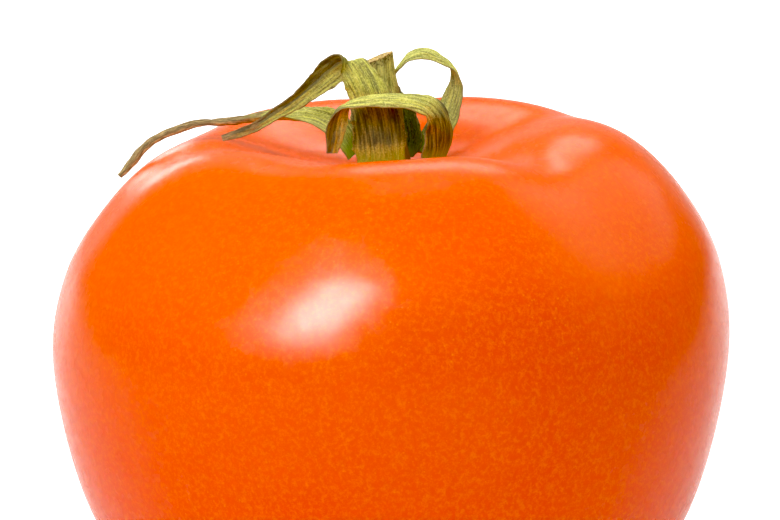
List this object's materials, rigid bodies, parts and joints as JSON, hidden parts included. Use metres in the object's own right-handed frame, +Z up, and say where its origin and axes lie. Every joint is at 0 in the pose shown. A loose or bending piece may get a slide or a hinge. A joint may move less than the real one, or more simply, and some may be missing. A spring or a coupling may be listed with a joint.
{
  "type": "tomato",
  "caption": "Ripe round tomato with broad lobed shoulders, a shallow stem hollow and a dried, curling green calyx; rests on a small flat spot.",
  "frame": {"origin": "centre of the small flat resting spot under the fruit, on the surface it rests on", "axes": "+Z up along the fruit's core, from the resting spot to the stem; the front of the fruit faces -Y; +X to the right seen from the front"},
  "size_m": [0.0759, 0.0759, 0.0707],
  "materials": {
    "skin": "satin",
    "stem": "matte",
    "sepal": "matte"
  },
  "bodies": {
    "root": {"fruit": "skin", "stem": "stem", "sepal_front": "sepal", "sepal_right": "sepal", "sepal_loop": "sepal", "sepal_back": "sepal", "sepal_left": "sepal"}
  },
  "joints": []
}
